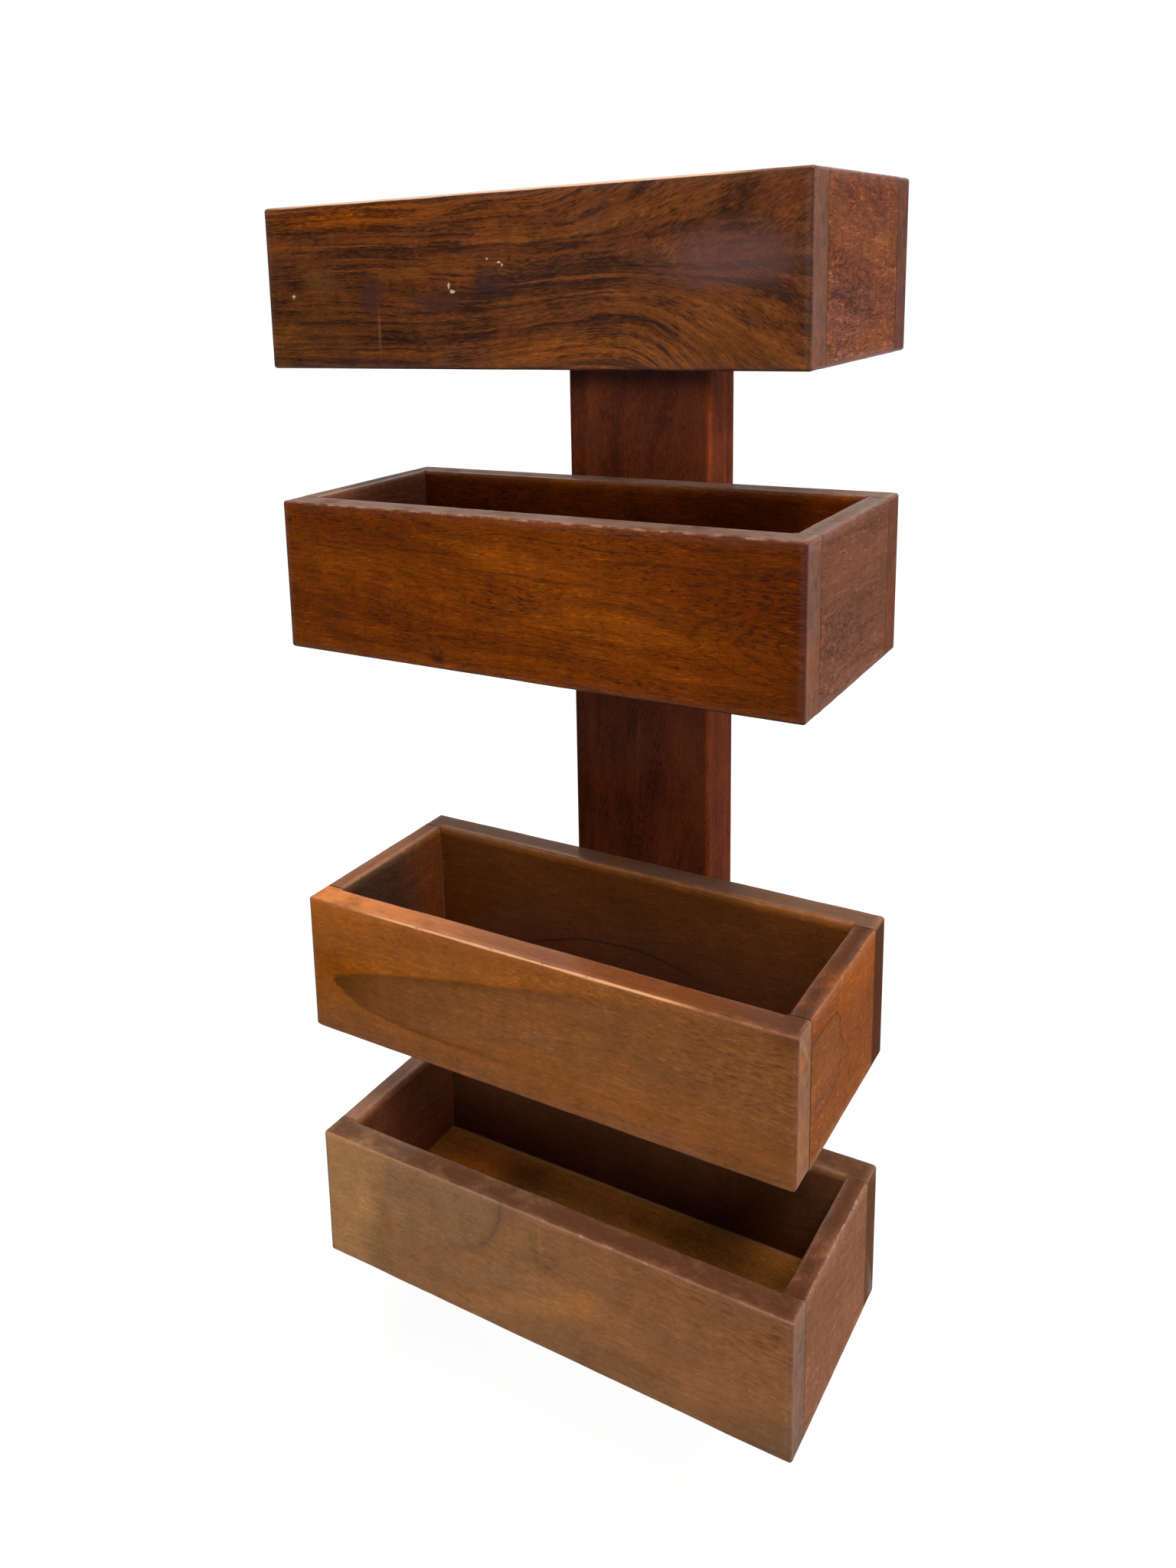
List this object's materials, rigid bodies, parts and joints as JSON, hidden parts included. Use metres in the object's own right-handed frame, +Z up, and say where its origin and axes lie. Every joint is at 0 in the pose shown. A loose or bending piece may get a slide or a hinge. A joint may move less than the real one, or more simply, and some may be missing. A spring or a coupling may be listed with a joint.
{
  "type": "wall-mounted book and magazine rack",
  "caption": "Wall-hung wooden rack: open-topped trays with retaining frames above them, carried on a central upright post.",
  "frame": {"origin": "on the wall plane, in the middle of the post's back face", "axes": "+Y out of the post's back into the wall, +Z up along the post, +X to the right as seen from the front; the front faces -Y"},
  "size_m": [0.32, 0.19, 0.681],
  "materials": {
    "top_frame_boards": "oiled hardwood, dark red-brown with strong dark grain, satin",
    "upper_tray_boards": "oiled hardwood, warm orange-brown with fine grain, satin",
    "middle_frame_boards": "oiled hardwood, ochre-brown with a dark streak, satin",
    "lower_tray_boards": "oiled hardwood, duller taupe-brown, satin",
    "upper_tray_floor": "oiled hardwood panel, satin",
    "lower_tray_floor": "oiled hardwood panel, olive-brown, satin",
    "post_wood": "oiled hardwood, very dark red-brown, satin",
    "dowel_wood": "plain pale hardwood dowel",
    "screw_steel": "zinc-plated steel",
    "plate_steel": "zinc-plated pressed steel"
  },
  "bodies": {
    "root": {"top_frame_front": "top_frame_boards", "top_frame_back": "top_frame_boards", "top_frame_left": "top_frame_boards", "top_frame_right": "top_frame_boards", "top_frame_dowels": "dowel_wood", "top_frame_screws": "screw_steel", "upper_tray_front": "upper_tray_boards", "upper_tray_back": "upper_tray_boards", "upper_tray_left": "upper_tray_boards", "upper_tray_right": "upper_tray_boards", "upper_tray_floor": "upper_tray_floor", "upper_tray_dowels": "dowel_wood", "upper_tray_screws": "screw_steel", "middle_frame_front": "middle_frame_boards", "middle_frame_back": "middle_frame_boards", "middle_frame_left": "middle_frame_boards", "middle_frame_right": "middle_frame_boards", "middle_frame_dowels": "dowel_wood", "middle_frame_screws": "screw_steel", "lower_tray_front": "lower_tray_boards", "lower_tray_back": "lower_tray_boards", "lower_tray_left": "lower_tray_boards", "lower_tray_right": "lower_tray_boards", "lower_tray_floor": "lower_tray_floor", "lower_tray_dowels": "dowel_wood", "lower_tray_screws": "screw_steel", "post": "post_wood", "upper_hanger_plate": "plate_steel", "lower_hanger_plate": "plate_steel", "hanger_plate_screws": "screw_steel"}
  },
  "joints": []
}
